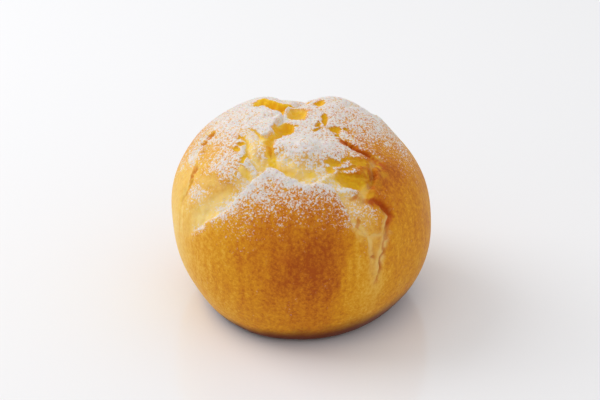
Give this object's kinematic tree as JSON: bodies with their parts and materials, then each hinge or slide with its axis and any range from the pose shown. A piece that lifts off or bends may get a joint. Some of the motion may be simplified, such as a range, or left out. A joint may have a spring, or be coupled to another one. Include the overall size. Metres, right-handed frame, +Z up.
{
  "type": "cream puff",
  "caption": "Round baked cream puff with a cracked crown and a dusting of icing sugar, closed, resting on its flat base.",
  "frame": {"origin": "middle of the flat base, on the surface the puff stands on", "axes": "+Z up through the crown; -Y is the front, the side with the large smooth plate of crust below the cracks; +X to the right seen from the front"},
  "size_m": [0.079, 0.0806, 0.0598],
  "materials": {
    "choux_crust": "golden baked choux crust, satin, pale in the cracks and dusted with icing sugar on the crown"
  },
  "bodies": {
    "root": {"choux_puff": "choux_crust"}
  },
  "joints": []
}
